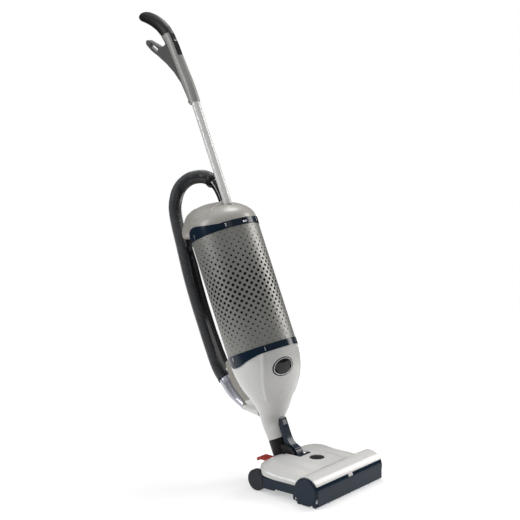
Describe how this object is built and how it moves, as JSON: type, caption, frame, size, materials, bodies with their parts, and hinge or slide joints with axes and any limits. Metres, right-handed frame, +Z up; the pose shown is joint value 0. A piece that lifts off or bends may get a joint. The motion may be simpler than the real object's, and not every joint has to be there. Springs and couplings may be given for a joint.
{
  "type": "upright vacuum cleaner",
  "caption": "Commercial upright vacuum cleaner leaning back on a swivel neck, with a powered brush head, bag housing, carrying bar, side hose loop and curved handle.",
  "frame": {"origin": "On the floor, at mid width, straight under the axis of the brush roller, on the underside of the middle runner of the sole plate.", "axes": "+Z up, -Y forward (the way the cleaner is pushed), +X across to the machine's right as seen from behind."},
  "size_m": [0.305, 0.7812, 1.3228],
  "materials": {
    "cream_shell": "satin pearl",
    "pale_shell": "satin",
    "navy_gloss": "gloss",
    "black_plastic": "satin",
    "black_gloss": "gloss",
    "steel": "brushed",
    "red_plastic": "gloss",
    "grey_plastic": "matte",
    "handle_light": "satin",
    "handle_dark": "satin",
    "grip_rubber": "matte",
    "hose_plastic": "satin",
    "elbow_plastic": "gloss",
    "tube_paint": "gloss",
    "wheel_rubber": "matte",
    "bristle": "matte",
    "motor_grey": "matte",
    "aluminium": "satin",
    "bag_fabric": "matte",
    "filter_fabric": "matte",
    "belt_rubber": "matte"
  },
  "bodies": {
    "head": {"head_base": "navy_gloss", "sole_plate": "steel", "head_cover": "cream_shell", "front_hood": "cream_shell", "front_shield": "navy_gloss", "end_caps": "navy_gloss", "neck_bezel": "navy_gloss", "neck_bearings": "black_plastic", "roller_bearings": "steel", "drive_belt": "belt_rubber", "brush_motor": "motor_grey", "wheel_axles": "steel", "pedal_pin": "steel", "pedal_spring": "steel"},
    "brush": {"brush_roller": "motor_grey", "brush_bristles": "bristle"},
    "pulley": {"motor_pulley": "aluminium"},
    "rear_wheel_l": {"rear_wheel_left": "wheel_rubber"},
    "rear_wheel_r": {"rear_wheel_right": "wheel_rubber"},
    "front_wheel_l": {"front_wheel_left": "wheel_rubber"},
    "front_wheel_r": {"front_wheel_right": "wheel_rubber"},
    "dial": {"height_dial": "black_plastic"},
    "pedal": {"foot_pedal": "red_plastic"},
    "neck": {"neck_drum": "black_plastic", "neck_strut": "navy_gloss"},
    "button": {"release_button": "grey_plastic"},
    "body": {"swivel_ring": "black_plastic", "lower_shell": "cream_shell", "suction_motor": "motor_grey", "motor_plate": "black_plastic", "lower_band": "navy_gloss", "upper_band": "navy_gloss", "band_clips": "steel", "rear_housing": "pale_shell", "bag_chamber": "motor_grey", "dust_bag": "bag_fabric", "top_cap": "pale_shell", "tube_collar": "pale_shell", "hose_socket": "black_gloss", "carrying_bar": "black_gloss", "hose_clips": "black_plastic", "suction_hose": "hose_plastic", "hose_cuffs": "black_plastic", "hose_elbow": "elbow_plastic", "handle_tube": "tube_paint", "handle_rear": "handle_dark", "handle_front": "handle_light", "handle_grip": "grip_rubber", "switch_panel": "black_gloss", "cable_gland": "black_plastic", "handle_screws": "steel"},
    "fan": {"fan_impeller": "aluminium"},
    "cover": {"front_cover": "pale_shell", "exhaust_filter": "filter_fabric"},
    "latch": {"cover_latch": "steel"},
    "switch": {"power_switch": "black_gloss"}
  },
  "joints": [
    {"name": "neck_pitch", "type": "hinge", "parent": "head", "child": "neck", "pos_m": [0, 0.18, 0.06], "axis": [-1, 0, 0], "range_deg": [-20, 35]},
    {"name": "neck_swivel", "type": "hinge", "parent": "neck", "child": "body", "pos_m": [0, 0.19659, 0.05303], "axis": [0, 0.3875, 0.9219], "range_deg": [-35, 55]},
    {"name": "brush_spin", "type": "hinge", "parent": "head", "child": "brush", "pos_m": [0, 0, 0.04], "axis": [1, 0, 0], "continuous": true},
    {"name": "pulley_spin", "type": "hinge", "parent": "head", "child": "pulley", "pos_m": [0, 0.098, 0.041], "axis": [1, 0, 0], "continuous": true},
    {"name": "rear_wheel_left_spin", "type": "hinge", "parent": "head", "child": "rear_wheel_l", "pos_m": [-0.1292, 0.186, 0.03], "axis": [1, 0, 0], "continuous": true},
    {"name": "front_wheel_left_spin", "type": "hinge", "parent": "head", "child": "front_wheel_l", "pos_m": [-0.1298, 0.044, 0.009], "axis": [1, 0, 0], "continuous": true},
    {"name": "rear_wheel_right_spin", "type": "hinge", "parent": "head", "child": "rear_wheel_r", "pos_m": [0.1292, 0.186, 0.03], "axis": [1, 0, 0], "continuous": true},
    {"name": "front_wheel_right_spin", "type": "hinge", "parent": "head", "child": "front_wheel_r", "pos_m": [0.1298, 0.044, 0.009], "axis": [1, 0, 0], "continuous": true},
    {"name": "height_dial_turn", "type": "hinge", "parent": "head", "child": "dial", "pos_m": [0.003, 0.081, 0.0776], "axis": [0, 0, 1], "range_deg": [0, 270]},
    {"name": "pedal_press", "type": "hinge", "parent": "head", "child": "pedal", "pos_m": [-0.0545, 0.203, 0.059], "axis": [-1, 0, 0], "range_deg": [0, 10], "stiffness_Nm_per_rad": 3, "springref_deg": -11.46},
    {"name": "button_press", "type": "slide", "parent": "neck", "child": "button", "axis": [0, 0.9219, -0.3875], "range_m": [0, 0.0018], "stiffness_N_per_m": 600, "springref_m": -0.002},
    {"name": "fan_spin", "type": "hinge", "parent": "body", "child": "fan", "pos_m": [-0.00903, 0.2482, 0.30794], "axis": [0, 0.3875, 0.9219], "continuous": true},
    {"name": "cover_pull", "type": "slide", "parent": "body", "child": "cover", "axis": [-0.1736, -0.9079, 0.3816], "range_m": [0, 0.08]},
    {"name": "latch_lift", "type": "slide", "parent": "body", "child": "latch", "axis": [0, 0.3875, 0.9219], "range_m": [0, 0.0045], "stiffness_N_per_m": 500, "springref_m": -0.003},
    {"name": "switch_rock", "type": "hinge", "parent": "body", "child": "switch", "pos_m": [-0.01823, 0.58353, 1.24035], "axis": [0.9848, -0.1601, 0.0673], "range_deg": [0, 12]}
  ],
  "couplings": [
    {"joint": "pulley_spin", "follows": "brush_spin", "ratio": 2.0526}
  ]
}
